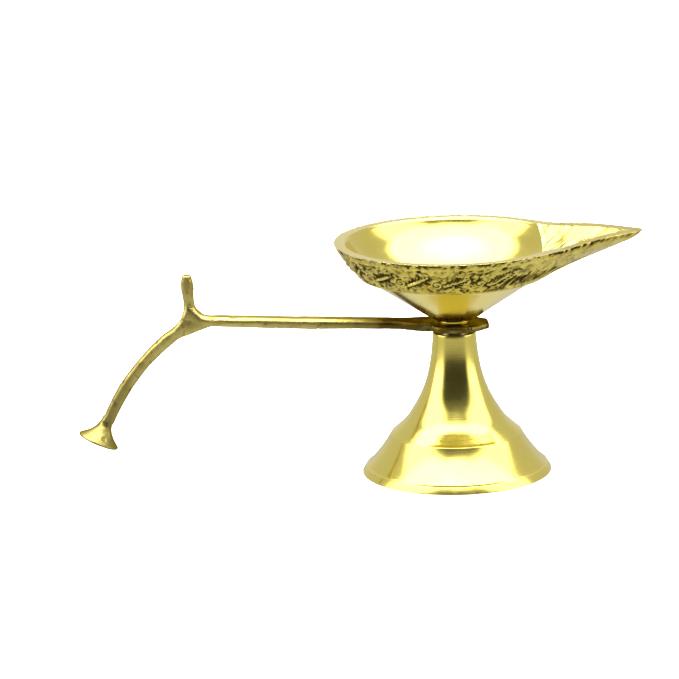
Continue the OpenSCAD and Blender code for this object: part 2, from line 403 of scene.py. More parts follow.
def sand_cast():
    """The unfinished inside of the foot: coarse, dull and darker."""
    m = Finish("sand_cast_brass")
    grains = m.noise(900, 5, 0.7)
    patches = m.noise(110, 3, 0.6)
    stops = [(0.3, (0.26, 0.18, 0.05)), (0.55, (0.42, 0.32, 0.09)), (0.8, (0.50, 0.40, 0.13))]
    colour = m.ramp(patches, stops)
    colour = m.blend(m.remap(grains, 0.55, 0.75, 0.0, 0.7), colour, (0.12, 0.08, 0.03))
    return m.finish(
        Base_Color=colour, Metallic=0.9, Roughness=m.remap(grains, 0.3, 0.7, 0.5, 0.8),
        Normal=m.bump(grains, 0.00018, 0.9),
    )


def plated_steel():
    """Zinc-plated steel with a faint yellow cast, brushed round and scuffed."""
    m = Finish("plated_steel")
    rings = m.noise(1800, 2, 0.5, m.around_axis(1.0, 0.1))
    patches = m.noise(260, 4, 0.6)
    stops = [(0.3, (0.46, 0.44, 0.38)), (0.5, (0.62, 0.61, 0.57)), (0.75, (0.68, 0.66, 0.55))]
    colour = m.ramp(patches, stops)
    return m.finish(
        Base_Color=colour, Metallic=1.0, Roughness=m.remap(patches, 0.3, 0.7, 0.24, 0.42),
        Normal=m.bump(rings, 0.00001, 0.5),
    )


POLISHED = polished_brass()
BAND_CAST = cast_brass(
    "band_brass", (0.74, 0.62, 0.13), (0.56, 0.44, 0.07), 0.20, 0.34, 0.00014, 0.26, rubbed=0.95
)
CHANNEL_CAST = cast_brass("channel_brass", (0.82, 0.71, 0.19), (0.72, 0.60, 0.12), 0.14, 0.26, 0.00006, 0.8)
HANDLE_CAST = cast_brass(
    "handle_brass", (0.66, 0.56, 0.18), (0.44, 0.35, 0.09), 0.28, 0.42, 0.00010, 0.4, browned=True
)
SAND_CAST = sand_cast()
STEEL = plated_steel()


# ------------------------------------------------------------------ pedestal
def flare_r(z):
    """Outer radius of the neck and flare, which widens ever faster but for a waist above the shoulder."""
    down = (PEDESTAL_H - z) / (PEDESTAL_H - SHOULDER_Z)
    waist = WAIST_DEPTH * np.exp(-(((z - SHOULDER_Z - WAIST_ABOVE) / WAIST_SPREAD) ** 2))
    return NECK_R + NECK_TAPER * down + (SHOULDER_R - NECK_R - NECK_TAPER) * down**3 - waist


def skirt_r(z):
    """Outer radius of the skirt, steep under the shoulder and spreading to the rim."""
    down = np.maximum(SKIRT_TOP_Z - z, 0)
    return SKIRT_TOP_R + SKIRT_SLOPE * down + SKIRT_CURVE * down**2


def pedestal():
    """The turned neck, flare, skirt and rim, with the hollow that was cast inside."""
    outer = [(HOLE_R, PEDESTAL_H - GAP, 0.15), (NECK_R, PEDESTAL_H - GAP, 0.3)]
    outer += [(flare_r(z), z, 0) for z in np.linspace(PEDESTAL_H - 1, SHOULDER_Z + 0.4, 70)]
    outer += [(SHOULDER_R, SHOULDER_Z + 0.03, 0.2), (SKIRT_TOP_R, SKIRT_TOP_Z, 0.12)]
    outer += [(skirt_r(z), z, 0) for z in np.linspace(SKIRT_TOP_Z - 0.4, RIM_H + 0.7, 38)]
    outer += [(skirt_r(RIM_H + 0.2), RIM_H + 0.2, 0.3), (FOOT_R - RIM_BEVEL, RIM_H - 0.05, 0.25)]
    outer += [(FOOT_R, 0.25, 0.1), (FOOT_R, 0, 0.2)]
    hollow = [(skirt_r(HOLLOW_LIP_Z) - WALL, 0, 0.3)]
    hollow += [(skirt_r(z) - WALL, z, 0) for z in np.linspace(1.5, SHOULDER_Z - 1, 12)]
    hollow += [(flare_r(z) - WALL, z, 0) for z in np.linspace(SHOULDER_Z + 1, HOLLOW_H - 1.5, 20)]
    hollow += [(flare_r(HOLLOW_H) - WALL, HOLLOW_H + GAP, 1.0), (HOLE_R, HOLLOW_H + GAP, 0.2)]
    first_hollow = len(filleted(outer))
    outline = filleted(outer + hollow)
    slots = np.where(np.arange(len(outline)) >= first_hollow, 1, 0)

    def roughen(points):
        """Sand texture in the hollow, fading at its lip and ceiling. The turned outside stays smooth."""
        inside = points[first_hollow:].reshape(-1, 3).copy()
        fade = smooth(inside[:, 2]) * smooth((HOLLOW_H - 0.5 - inside[:, 2]) / 2.0)
        push = 0.16 * layered(inside, 2.2, 3, 5) * fade
        inside[:, :2] *= (1 + push / np.maximum(np.hypot(inside[:, 0], inside[:, 1]), 1))[:, None]
        points[first_hollow:] = inside.reshape(points[first_hollow:].shape)
        return points

    return turned("pedestal_casting", outline, 288, [POLISHED, SAND_CAST], slots, shape=roughen)


# ------------------------------------------------------------------ bowl
def rim_radius(angle):
    """Radius of the rim in plan at each angle from the spout's centre line."""
    tip_r, join = 3.6, math.radians(56)
    root = RIM_R * np.array([math.cos(SPOUT_ROOT), math.sin(SPOUT_ROOT)])
    end = np.array([REACH - tip_r + tip_r * math.cos(join), tip_r * math.sin(join)])
    flank = [
        root, root + 10 * np.array([math.sin(SPOUT_ROOT), -math.cos(SPOUT_ROOT)]),
        end + 6 * np.array([-math.sin(join), math.cos(join)]), end,
    ]
    tip = [[REACH - tip_r + tip_r * math.cos(a), tip_r * math.sin(a)] for a in np.linspace(0, join, 30)[:-1]]
    curve = np.array(tip + bezier(flank, np.linspace(1, 0, 160)).tolist())
    at, radius = np.arctan2(curve[:, 1], curve[:, 0]), np.hypot(curve[:, 0], curve[:, 1])
    return np.interp(np.abs(angle), at, radius)


def rim_lift(x):
    """How far the rim has risen above the bowl's own, at x on its way to the spout's tip."""
    span = REACH - RIM_R - 4
    return SPOUT_LIFT * np.sin(np.pi / 2 * np.clip((x - RIM_R + 4) / span, 0, 1))


def turned_z(r):
    """Height of the turned inside: a shallow cone that steepens to the rim."""
    def rise(q):
        return 0.42 * (np.sqrt(q * q + 9) - 3) + 6.9 * (q / RIM_INNER_R) ** 8
    return mix(INSIDE_Z, RIM_Z, rise(r) / rise(np.array(RIM_INNER_R)))


def channel_z(x, y):
    """Height of the spout's channel: a trough that narrows and rises towards the tip."""
    start, end = 25.0, 54.0
    half = 22 * (np.clip(end - x, 0.02, None) / (end - start)) ** 0.85
    floor = RIM_Z - 9 + 9.4 * (x - start) / 28
    top = RIM_Z + rim_lift(x)
    return mix(floor, np.maximum(top, floor + 0.3), (y / half) ** 2)


def crossing(angle, low, high, gap):
    """The radius between low and high at which gap(x, y, r) changes sign, by halving."""
    low, high = low.copy(), high.copy()
    for _ in range(40):
        mid = (low + high) / 2
        inside = gap(mid * np.cos(angle), mid * np.sin(angle), mid) < 0
        low, high = np.where(inside, mid, low), np.where(inside, high, mid)
    return (low + high) / 2


class Relief:
    """Strokes, scrolls and feathers laid on the band. along and up are millimetres on its surface."""

    def __init__(self, along, up, length):
        self.along, self.up, self.length = along, up, length
        self.height = np.zeros(along.shape)
        self.order = np.argsort(along)
        self.sorted = along[self.order]

    def near(self, a, reach):
        """Indices of the points within reach along the band, and their offsets."""
        found, offset = [], []
        for shift in (-self.length, 0, self.length):
            lo, hi = np.searchsorted(self.sorted, [a + shift - reach, a + shift + reach])
            index = self.order[lo:hi]
            found.append(index)
            offset.append(self.along[index] - a - shift)
        return np.concatenate(found), np.concatenate(offset)

    def stroke(self, a, u, slant, length, width, depth, bend=0.0):
        """A tapered stroke centred at (a, u): a ridge where depth is above 0 and a groove below."""
        index, x = self.near(a, length / 2 + width * 3)
        y = self.up[index] - u
        c, s = math.cos(slant), math.sin(slant)
        run, off = x * c + y * s, -x * s + y * c
        off = off - bend * (run / length) ** 2 * 4
        taper = smooth((length / 2 - np.abs(run)) / (length * 0.22))
        wide = width * (0.45 + 0.55 * taper)
        self.height[index] += depth * taper * np.exp(-(off / wide) ** 2)

    def scroll(self, a, u, radius, depth, hand):
        """A spiral of one and a half turns."""
        index, x = self.near(a, radius * 1.2)
        y = self.up[index] - u
        r, turn = np.hypot(x, y), np.arctan2(y, x) * hand
        wave = np.cos(2 * np.pi * (r / radius * 1.9 - turn / (2 * np.pi)))
        self.height[index] += depth * wave * smooth((radius - r) / (radius * 0.35))

    def feather(self, a, u, slant, length, spread, depth, rng):
        """A midrib with barbs on both sides, like the cast leaves of such bands."""
        self.stroke(a, u, slant, length, 0.42, depth * 0.9, 0.5)
        barbs = int(length / 1.25)
        for i in range(barbs):
            along = (i + 0.5) / barbs - 0.5
            size = spread * (1 - 0.55 * abs(along + 0.15) * 2) * rng.uniform(0.85, 1.1)
            root = np.array([math.cos(slant), math.sin(slant)]) * along * length + np.array([a, u])
            for side in (-1, 1):
                lean = slant + side * math.radians(40)
                mid = root + np.array([math.cos(lean), math.sin(lean)]) * size * 0.55
                self.stroke(mid[0], mid[1], lean, size, 0.3, -depth * rng.uniform(0.7, 1.1), side * 0.25)


def worms(points, size, seed):
    """Meandering grooves, from 0 to 1, that lean up towards the spout on the camera's side."""
    lean = math.radians(38)
    run = points[:, 0] * math.cos(lean) + points[:, 2] * math.sin(lean)
    across = points[:, 2] * math.cos(lean) - points[:, 0] * math.sin(lean)
    q = np.stack([run * 0.62, points[:, 1] * 0.8, across], axis=1)
    return np.exp(-(noise(q, size, seed) / 0.17) ** 2)


def band_relief(points, along, up, length, height_of_band):
    """The cast band's pattern: worn grooves all over, ribbed leaves, and long strokes beside the spout."""
    rng = np.random.default_rng(11)
    relief = Relief(along, up, length)
    thick = smooth(noise(points, 3.4, 71) * 1.6 + 0.62)
    plain = mix(1.0, 0.3, smooth((STROKES_TO - np.abs(along)) / 12))
    relief.height -= 0.22 * worms(points, 1.35, 72) * thick * plain
    relief.height -= 0.15 * worms(points, 0.95, 73) * (1 - 0.6 * thick) * plain
    relief.height -= 0.36 * smooth((noise(points, 1.15, 74) - 0.48) / 0.22) * plain
    relief.height += 0.14 * smooth((noise(points, 1.3, 75) - 0.15) / 0.4)

    # The top edge is bitten irregularly, with a plain bead below it
    top = smooth((up - (height_of_band - 1.0)) / 0.35)
    relief.height = mix(relief.height, -0.5 * smooth(noise(points, 1.25, 76) * 2.2 + 0.35), top)
    bead = np.exp(-((up - (height_of_band - 1.9)) / 0.45) ** 2)
    relief.height = mix(relief.height, 0.12 + 0.3 * relief.height, 0.75 * bead)

    cell, stroke_step = 12.6, 1.5
    for side in (-1, 1):
        count = int((length / 2 - STROKES_TO) / cell)
        for i in range(count + 1):
            a = side * (STROKES_TO - 3 + (i + 0.5) * cell + rng.uniform(-1.2, 1.2))
            lean = side * math.radians(-30 + rng.uniform(-9, 9))
            relief.feather(a, height_of_band * 0.42, lean, 11.0, 3.6, 0.55, rng)
            relief.scroll(a + side * 6, height_of_band * 0.40 + rng.uniform(-0.8, 0.8), 2.3, 0.26, side)
        strokes = int((STROKES_TO - STROKES_FROM) / stroke_step)
        for i in range(strokes):
            a = side * (STROKES_FROM + (i + 0.5) * stroke_step + rng.uniform(-0.3, 0.3))
            lean = side * math.radians(-50 + rng.uniform(-8, 8))
            relief.stroke(a, height_of_band * 0.34, lean, 7.5 + rng.uniform(-1.5, 1), 0.4, -0.62, side * 0.6)
            relief.stroke(a + side * 0.7, height_of_band * 0.38, lean, 6.0, 0.36, 0.2, side * 0.6)
    return relief.height


# The kinds of row that the bowl is built from, and the material slot of each
UNDER, BAND, RIM_TOP, CHANNEL, INSIDE = range(5)
SLOT_OF_KIND = np.array([0, 1, 0, 2, 0])


def bowl_angles():
    """Angles round the bowl, up to 180 degrees each way and closest together on the spout."""
    half = np.radians(np.concatenate([
        np.arange(0, 8, 0.25), np.arange(8, 52, 0.36), np.arange(52, 180, 0.56),
    ]))
    return np.concatenate([-half[:0:-1], half, [np.pi]])


def underside():
    """The (r, z) outline below the band: the stud's blind hole, the boss and the turned cone."""
    hole_top = corners("stud")[1][2] + GAP
    closed = split_long(filleted([
        (0, hole_top, 0), (BORE_R, hole_top, 0), (BORE_R, BOWL_Z + GAP, 0.12),
        (BOSS_R, BOWL_Z + GAP, 0.1), (BOSS_R + 0.4, BOWL_Z + 0.2, 0.1), (BOSS_R + 0.45, BOWL_Z + 1.1, 0.1),
        (BOSS_R + 0.2, BOWL_Z + 1.3, 0.1), (BOSS_R + 1.9, BOWL_Z + 1.5, 0.2),
        (CONE_TOP_R, BAND_Z - 0.02, 0.2), (BAND_FOOT_R - 0.5, BAND_Z + 0.05, 0),
    ], steps=3), 2.4)
    # Up to the widest point: the edge that closes the outline is left off
    return closed[: np.argmax(closed[:, 0]) + 1]


def cast_band(band, angle, out):
    """The band with its pattern standing along its own normals, and how far each point was moved."""
    up = np.cumsum(np.linalg.norm(np.diff(band, axis=0, prepend=band[:1]), axis=2), axis=0)
    middle = band[len(band) // 2]
    step = np.linalg.norm(np.roll(middle, -1, axis=0) - middle, axis=1)
    along = np.concatenate([[0], np.cumsum(step)[:-1]])
    zero = along[np.argmin(np.abs(angle))]
    length = step.sum()
    along = (along - zero + length / 2) % length - length / 2
    band_h = up[-1, 0]
    level = up / up[-1] * band_h
    flat = band.reshape(-1, 3)
    pattern = band_relief(flat, np.broadcast_to(along, up.shape).ravel(), level.ravel(), length, band_h)
    pattern = pattern.reshape(up.shape)
    rough = (0.11 * layered(flat, 1.5, 3, 21)).reshape(up.shape)
    crust = (0.10 * np.minimum(0, noise(flat, 0.9, 31) + 0.25)).reshape(up.shape)
    edge_fade = smooth(up / 0.8) * mix(0.45, 1.0, smooth((up[-1] - up) / 0.6))
    tip_fade = mix(1.0, 0.3, smooth((out - 0.25) / 0.4))
    high = ((pattern + rough) * tip_fade + 0.5 * crust) * edge_fade - 0.03
    tangent = np.roll(band, -1, axis=1) - np.roll(band, 1, axis=1)
    normal = np.cross(tangent, np.gradient(band, axis=0))
    normal /= np.maximum(np.linalg.norm(normal, axis=2, keepdims=True), 1e-9)
    return band + normal * high[:, :, None], high


def bowl():
    """The bowl with its spout, built as closed rows of points from the stud's hole up, over and in."""
    angle = bowl_angles()
    cols = len(angle)
    reach = rim_radius(angle)
    c, s = np.cos(angle), np.sin(angle)
    out = np.clip((reach - RIM_R) / (REACH - RIM_R), 0, 1)
    squeeze = np.minimum(np.abs(angle) / SPOUT_ROOT, 1)
    base_angle = np.sign(angle) * np.where(squeeze < 1, SPOUT_ROOT * squeeze**0.64, np.abs(angle))
    bc, bs = np.cos(base_angle), np.sin(base_angle)
    rows, kind = [], []

    def add(x, y, z, what):
        rows.append(np.stack(np.broadcast_arrays(x, y, z), axis=-1) + np.zeros((cols, 3)))
        kind.append(what)

    for r, z in underside():
        add(r * c, r * s, z, UNDER)
    cone_end = len(rows) - 1

    # Outside: from the ledge up to the rim
    for t in np.append(np.linspace(0, 0.93, 50), [0.955, 0.972, 0.986, 0.995, 1.0]):
        swell = 0.5 * math.sin(math.pi * t) * (1 - out)
        x = mix(BAND_FOOT_R * bc, reach * c, t) + swell * bc
        y = mix(BAND_FOOT_R * bs, reach * s, t) + swell * bs
        rise = mix(t, 0.9 * t + 0.1 * t**20, np.minimum(1, 3.6 * out))
        add(x, y, BAND_Z + rise * (RIM_Z - BAND_Z + rim_lift(reach * c)), BAND)

    # Top: the flat of the rim, then the channel, then the turned inside down to the middle
    plain = channel_z(RIM_INNER_R * c, RIM_INNER_R * s) >= RIM_Z - 1e-6
    plain |= np.abs(angle) >= math.radians(60)
    meets = crossing(angle, np.full(cols, 24.0), np.full(cols, RIM_INNER_R),
                     lambda x, y, r: turned_z(r) - channel_z(x, y))
    meets = np.where(plain, RIM_INNER_R, meets)
    edge = crossing(angle, meets, reach - 1.5, lambda x, y, r: channel_z(x, y) - RIM_Z - rim_lift(x))
    edge = np.where(plain, RIM_INNER_R, edge)
    for f in (0.06, 0.3, 0.6, 0.88, 0.97):
        r = mix(reach, edge, f)
        add(r * c, r * s, RIM_Z + rim_lift(r * c), RIM_TOP)
    for f in np.arange(15) / 14:
        r = mix(edge, meets, f)
        z = np.minimum(channel_z(r * c, r * s), RIM_Z + rim_lift(r * c))
        add(r * c, r * s, np.where(plain, RIM_Z, z), CHANNEL)
    for f in (0.012, 0.03, 0.06, 0.1, 0.15, 0.21, 0.28, 0.36, 0.45, 0.55, 0.66, 0.77, 0.87, 0.94, 1.0):
        r = meets * (1 - f)
        add(r * c, r * s, turned_z(r), INSIDE)

    points, kind = np.array(rows), np.array(kind)
    relief = np.zeros(points.shape[:2])
    points[kind == BAND], relief[kind == BAND] = cast_band(points[kind == BAND], angle, out)

    # The channel keeps the dimples of its mould, and the flat of the spout is a little uneven
    for row in np.flatnonzero((kind == RIM_TOP) | (kind == CHANNEL)):
        spread = smooth((points[row, :, 0] - 27) / 3) * (np.abs(angle) < SPOUT_ROOT)
        depth = 0.42 if kind[row] == CHANNEL else 0.12
        dent = depth * layered(points[row], 2.6, 3, 41) * spread
        points[row, :, 2] += np.minimum(dent, 0.12)
        relief[row] = np.minimum(dent, 0) - 0.07 * (kind[row] == RIM_TOP)

    slots = np.repeat(SLOT_OF_KIND[kind[1:]], cols).reshape(-1, cols)
    # The rim's flat is as rough as the band where it runs out along the spout
    slots[(kind[1:] == RIM_TOP)[:, None] & (points[1:, :, 0] > 33)] = SLOT_OF_KIND[BAND]
    channel_rows = np.flatnonzero(kind == CHANNEL)
    creases = {cone_end, cone_end + 1, int(channel_rows[0]), int(channel_rows[-1])}
    obj = new_object(
        "bowl_casting", points.reshape(-1, 3), grid_faces(len(rows), cols),
        [POLISHED, BAND_CAST, CHANNEL_CAST], slots.ravel(),
        (np.repeat(np.arange(len(rows)), cols), creases), relief.ravel(),
    )
    weld(obj)
    return obj


# ------------------------------------------------------------------ handle
def to_row(points):
    """From the handle's own frame (outwards, sideways, up) to the row frame."""
    out = np.array([-math.cos(YAW), math.sin(YAW), 0])
    side = np.array([-math.sin(YAW), -math.cos(YAW), 0])
    return points[:, 0:1] * out + points[:, 1:2] * side + points[:, 2:3] * np.array([0, 0, 1.0])


def sweep(path, section):
    """A closed tube. path is (outwards, up) points and section(share) gives (sideways, thickness) corners."""
    rows = []
    for i, here in enumerate(path):
        ahead = path[min(i + 1, len(path) - 1)] - path[max(i - 1, 0)]
        ahead = ahead / np.linalg.norm(ahead)
        across = np.array([-ahead[1], ahead[0]])
        corners_here = section(i / (len(path) - 1))
        rows.append([[here[0] + across[0] * t, w, here[1] + across[1] * t] for w, t in corners_here])
    points = np.array(rows)
    n, m = points.shape[:2]
    ends = [points[0].mean(axis=0), points[-1].mean(axis=0)]
    faces = [list(f) for f in grid_faces(n, m)]
    faces += [[n * m, (k + 1) % m, k] for k in range(m)]
    faces += [[n * m + 1, (n - 1) * m + k, (n - 1) * m + (k + 1) % m] for k in range(m)]
    return np.concatenate([points.reshape(-1, 3), ends]), faces


def rounded_box(half_w, half_t, corner, crown=0.0):
    """Corners of a rounded rectangle, sideways and through the thickness, with a crown on the top."""
    out = []
    for cx, cy, first in ((1, 1, 0), (-1, 1, 90), (-1, -1, 180), (1, -1, 270)):
        for a in np.radians(np.arange(first, first + 91, 30)):
            w = cx * (half_w - corner) + corner * math.cos(a)
            t = cy * (half_t - corner) + corner * math.sin(a)
            out.append((w, t + (crown * (1 - (w / half_w) ** 2) if cy > 0 else 0)))
    return out


def slab(outline, half_w):
    """A flat piece from its outline in (outwards, up), half_w to each side."""
    outline = np.array(outline, float)
    n = len(outline)
    rows = [np.stack([outline[:, 0], np.full(n, w), outline[:, 1]], axis=1) for w in (-half_w, half_w)]
    centre = outline.mean(axis=0)
    points = np.concatenate([*rows, [[centre[0], -half_w, centre[1]], [centre[0], half_w, centre[1]]]])
    faces = [list(f) for f in grid_faces(2, n)]
    faces += [[2 * n, (k + 1) % n, k] for k in range(n)]
    faces += [[2 * n + 1, n + k, n + (k + 1) % n] for k in range(n)]
    return points, faces


def relaxed(mesh, co, weights):
    """Moves points towards their neighbours, once for each weight. A weight below 0 undoes the shrinking."""
    ends = np.zeros(len(mesh.edges) * 2, np.int64)
    mesh.edges.foreach_get("vertices", ends)
    a, b = ends.reshape(-1, 2).T
    count = np.bincount(ends, minlength=len(co))[:, None]
    for weight in weights:
        total = np.zeros_like(co)
        for axis in range(3):
            total[:, axis] = np.bincount(a, co[b, axis], len(co)) + np.bincount(b, co[a, axis], len(co))
        co = co + weight * (total / count - co)
    return co


def eye_ring():
    """The eye plate with its hole: round, with one blunt uneven end away from the bar. In the row frame."""
    blunt = [(5, -8.05), (7.5, -6.5), (11.3, -2.2), (11.0, 4.2), (7, 7.4)]
    segments = 160
    angle = np.linspace(0, 2 * np.pi, segments, endpoint=False)
    radius = np.full(segments, 8.35)
    for (x0, y0), (x1, y1) in zip(blunt, blunt[1:]):
        dx, dy = x1 - x0, y1 - y0
        with np.errstate(divide="ignore", invalid="ignore"):
            across = np.cos(angle) * dy - np.sin(angle) * dx
            reach = (x0 * dy - y0 * dx) / across
            share = (np.cos(angle) * reach - x0) * dx + (np.sin(angle) * reach - y0) * dy
            share = share / (dx * dx + dy * dy)
        hit = (reach > 0) & (share >= 0) & (share <= 1)
        radius = np.where(hit, np.maximum(radius, reach), radius)
    c, s = np.cos(angle), np.sin(angle)
    low, high = EYE_Z + GAP, BOWL_Z - GAP
    hole = np.full(segments, HOLE_R)
    levels = [(hole, low), (radius - 0.35, low), (radius, low + 0.35), (radius, high - 0.45),
              (radius - 0.5, high), (hole, high)]
    points = np.concatenate([np.stack([r * c, r * s, np.full(segments, z)], axis=1) for r, z in levels])
    return points, [list(f) for f in grid_faces(len(levels), segments, close_rows=True)]


def bar():
    """The straight bar, wide and flat at the eye and narrower where it runs into the joint."""
    def section(t):
        out = mix(BAR_FROM, BAR_TO, t)
        near_eye, near_joint = smooth((20 - out) / 12), smooth((out - 77) / 7)
        wide = 3.0 + 2.2 * near_eye + 0.12 * math.sin(out * 0.17) - 0.7 * near_joint
        thick = mix(1.3, 1.55, smooth((out - 14) / 14)) + 0.07 * math.sin(out * 0.13 + 1)
        return rounded_box(wide, thick, mix(0.4, 1.2, smooth((out - 10) / 12)), 0.35)

    path = [np.array([o, BAR_Z + 0.12 * math.sin(o * 0.09)]) for o in np.linspace(BAR_FROM, BAR_TO, 90)]
    return sweep(path, section)


def tail():
    """The tail, an arc from the joint down to the trumpet foot."""
    arc = np.linspace(math.radians(57), math.radians(23.5), 60)
    path = [TAIL_CENTRE + TAIL_R * np.array([math.cos(a), math.sin(a)]) for a in arc]
    return sweep(path, lambda t: rounded_box(mix(2.6, 2.1, t), mix(2.15, 1.9, t), 1.6, 0.1))


def spur():
    """The upright spur, with a slight collar near its top."""
    def section(t):
        collar = 0.25 * (0.72 < t < 0.9)
        return rounded_box(mix(2.2, 1.7, t), mix(2.3, 1.6, t) + collar, 1.4)

    top = BAR_Z + 1.1 + 14.0
    path = [np.array([mix(SPUR_AT - 0.1, SPUR_AT + 0.75, smooth(t)), mix(BAR_Z - 2.5, top, t)])
            for t in np.linspace(0, 1, 30)]
    return sweep(path, section)


def web():
    """The metal that fills the corners where bar, tail and spur meet."""
    return slab([
        (78, BAR_Z - 0.9), (81.5, BAR_Z - 2.4), (85, BAR_Z - 3.8), (88, BAR_Z - 5.1), (90.8, BAR_Z - 5.6),
        (92, BAR_Z - 2.2), (89.7, BAR_Z + 0.6), (88.8, BAR_Z + 3), (87, BAR_Z + 4), (84.2, BAR_Z + 3.8),
        (82.8, BAR_Z + 2.2), (80.4, BAR_Z + 1.3), (78, BAR_Z + 0.9),
    ], 2.45)


def trumpet_foot():
    """The round foot that closes the tail, leaning with it."""
    foot_r, height, overlap, segments = 6.95, 9.0, 1.0, 48
    lean, tilt = math.radians(24), math.radians(8.5)
    share = np.linspace(0, 1, 14)
    flare = np.stack([2.0 + (foot_r - 2.0) * (1 - share) ** 2.3, 0.8 + share * (height - 0.8)], axis=1)
    sole = [[0, 1.3], [2.2, 1.25], [4.4, 0.9], [foot_r - 0.9, 0.05], [foot_r - 0.15, 0.2]]
    outline = np.concatenate([sole, flare, [[0, height]]])
    spun = ring_points(outline, segments).reshape(-1, 3)
    end = TAIL_CENTRE + TAIL_R * np.array([math.cos(lean), math.sin(lean)])
    top = end + [0.5, 0] + overlap * np.array([-math.sin(lean), math.cos(lean)])
    turn = Matrix.Rotation(-lean, 3, "Y") @ Matrix.Rotation(tilt, 3, "X")
    placed = (spun - [0, 0, height]) @ np.array(turn).T + [top[0], 0, top[1]]
    return placed, [list(f) for f in grid_faces(len(outline), segments)]


def fused(pieces):
    """One skin round all the pieces, from a fine voxel remesh."""
    points, faces = [], []
    for part, part_faces in pieces:
        base = sum(len(p) for p in points)
        points.append(part)
        faces += [[base + k for k in f] for f in part_faces]
    rough = new_object("handle_parts", np.concatenate(points), faces, [])
    weld(rough)
    remesh = rough.modifiers.new("fuse", "REMESH")
    remesh.mode, remesh.voxel_size, remesh.adaptivity = "VOXEL", 0.3 * MM, 0.0
    mesh = bpy.data.meshes.new_from_object(rough.evaluated_get(bpy.context.evaluated_depsgraph_get()))
    bpy.data.objects.remove(rough)
    return mesh


def soften(mesh):
    """Rounds off the remesh, most of all at the joint with the spur."""
    co = np.zeros(len(mesh.vertices) * 3)
    mesh.vertices.foreach_get("co", co)
    co = relaxed(mesh, co.reshape(-1, 3), (0.55, -0.57) * 10)
    joint = to_row(np.array([[86.5, 0, BAR_Z - 0.5]]))[0]
    near_joint = smooth((11 - np.linalg.norm(co / MM - joint, axis=1)) / 4)[:, None]
    co = mix(co, relaxed(mesh, co, (0.5,) * 70), near_joint)
    mesh.vertices.foreach_set("co", co.ravel())
    mesh.update()
    return co / MM


def roughen_casting(mesh, co):
    """Lumps, pits and grain along the normals of the points co. The eye's bearing faces stay nearly flat."""
    normal = np.zeros(len(co) * 3)
    mesh.vertices.foreach_get("normal", normal)
    normal = normal.reshape(-1, 3)
    from_axis = np.hypot(co[:, 0], co[:, 1])
    free = smooth((from_axis - 7.5) / 4)
    lumps = 0.10 * noise(co, 6.5, 51) + 0.045 * noise(co, 2.4, 52)
    grain = 0.02 * layered(co, 0.9, 2, 53)
    pits = -0.16 * smooth((noise(co, 2.3, 57) - 0.60) / 0.2)
    high = (lumps + pits) * mix(0.15, 1.0, free) + grain * mix(0.4, 1.0, free) - 0.02
    bearing = (from_axis < 8) & (np.abs(normal[:, 2]) > 0.7)
    high[bearing] = np.minimum(high[bearing], 0) * 0.3
    co += normal * high[:, None]
    mesh.vertices.foreach_set("co", (co * MM).ravel())
    relief = (pits + grain).astype(np.float32)
    mesh.attributes.new("relief", "FLOAT", "POINT").data.foreach_set("value", relief)


def handle():
    """The whole handle as one casting: eye, bar, spur, tail and foot."""
    in_own_frame = [bar(), tail(), spur(), web(), trumpet_foot()]
    mesh = fused([(to_row(points), faces) for points, faces in in_own_frame] + [eye_ring()])
    obj = bpy.data.objects.new("handle_casting", mesh)
    bpy.context.scene.collection.objects.link(obj)
    roughen_casting(mesh, soften(mesh))
    mesh.polygons.foreach_set("use_smooth", np.ones(len(mesh.polygons), bool))
    mesh.materials.clear()
    mesh.materials.append(HANDLE_CAST)
    mesh.update()
    return obj


# ------------------------------------------------------------------ clamp hardware
def washer(name, node):
    """A punched washer in the place of a CAD node."""
    low, high = corners(node)
    outline = filleted([
        (HOLE_R, low[2] + GAP, 0.08), (high[0] - GAP, low[2] + GAP, 0.1),
        (high[0] - GAP, high[2] - GAP, 0.25), (HOLE_R, high[2] - GAP, 0.15),
    ])
    outline = split_long(outline, 0.6)

    def shape(points):
        """A punched washer is never quite round."""
        flat = points.reshape(-1, 3)
        edge = smooth((np.hypot(flat[:, 0], flat[:, 1]) - 4.2) / 0.8)
        flat[:, :2] *= (1 - 0.008 * edge * (1 + noise(flat, 1.5, 61)))[:, None]
        return flat.reshape(points.shape)

    return turned(name, outline, 128, [STEEL], shape=shape)


def thread(depth):
    """A radius change that follows the helix, from 0 at the crests to depth at the roots."""
    def cut(z, angle):
        turn = (z / PITCH - angle / (2 * np.pi)) % 1
        return depth * smooth((0.5 - np.abs(turn - 0.5)) * 2.4 - 0.15)
    return cut


def stud():
    """The threaded stud, with a chamfer at each end."""
    low, high = corners("stud")
    bottom, top = low[2], high[2]
    z = np.arange(bottom, top + 0.001, PITCH / 8)
    outline = np.concatenate([
        [[0, bottom]], [[STUD_R - 0.75, bottom]], np.stack([np.full(len(z), STUD_R), z], axis=1),
        [[STUD_R - 0.75, top]], [[0, top]],
    ])
    cut = thread(THREAD_DEPTH)

    def radius_of(r, height, angle):
        wall = r > STUD_R - 0.1
        ends = np.minimum(height - bottom, top - height)
        start = np.clip(0.7 - ends, 0, 0.7)
        return np.where(wall, np.minimum(r - cut(height, angle), r - start), r)

    return turned("stud_thread", outline, 64, [STEEL], radius_of=radius_of)


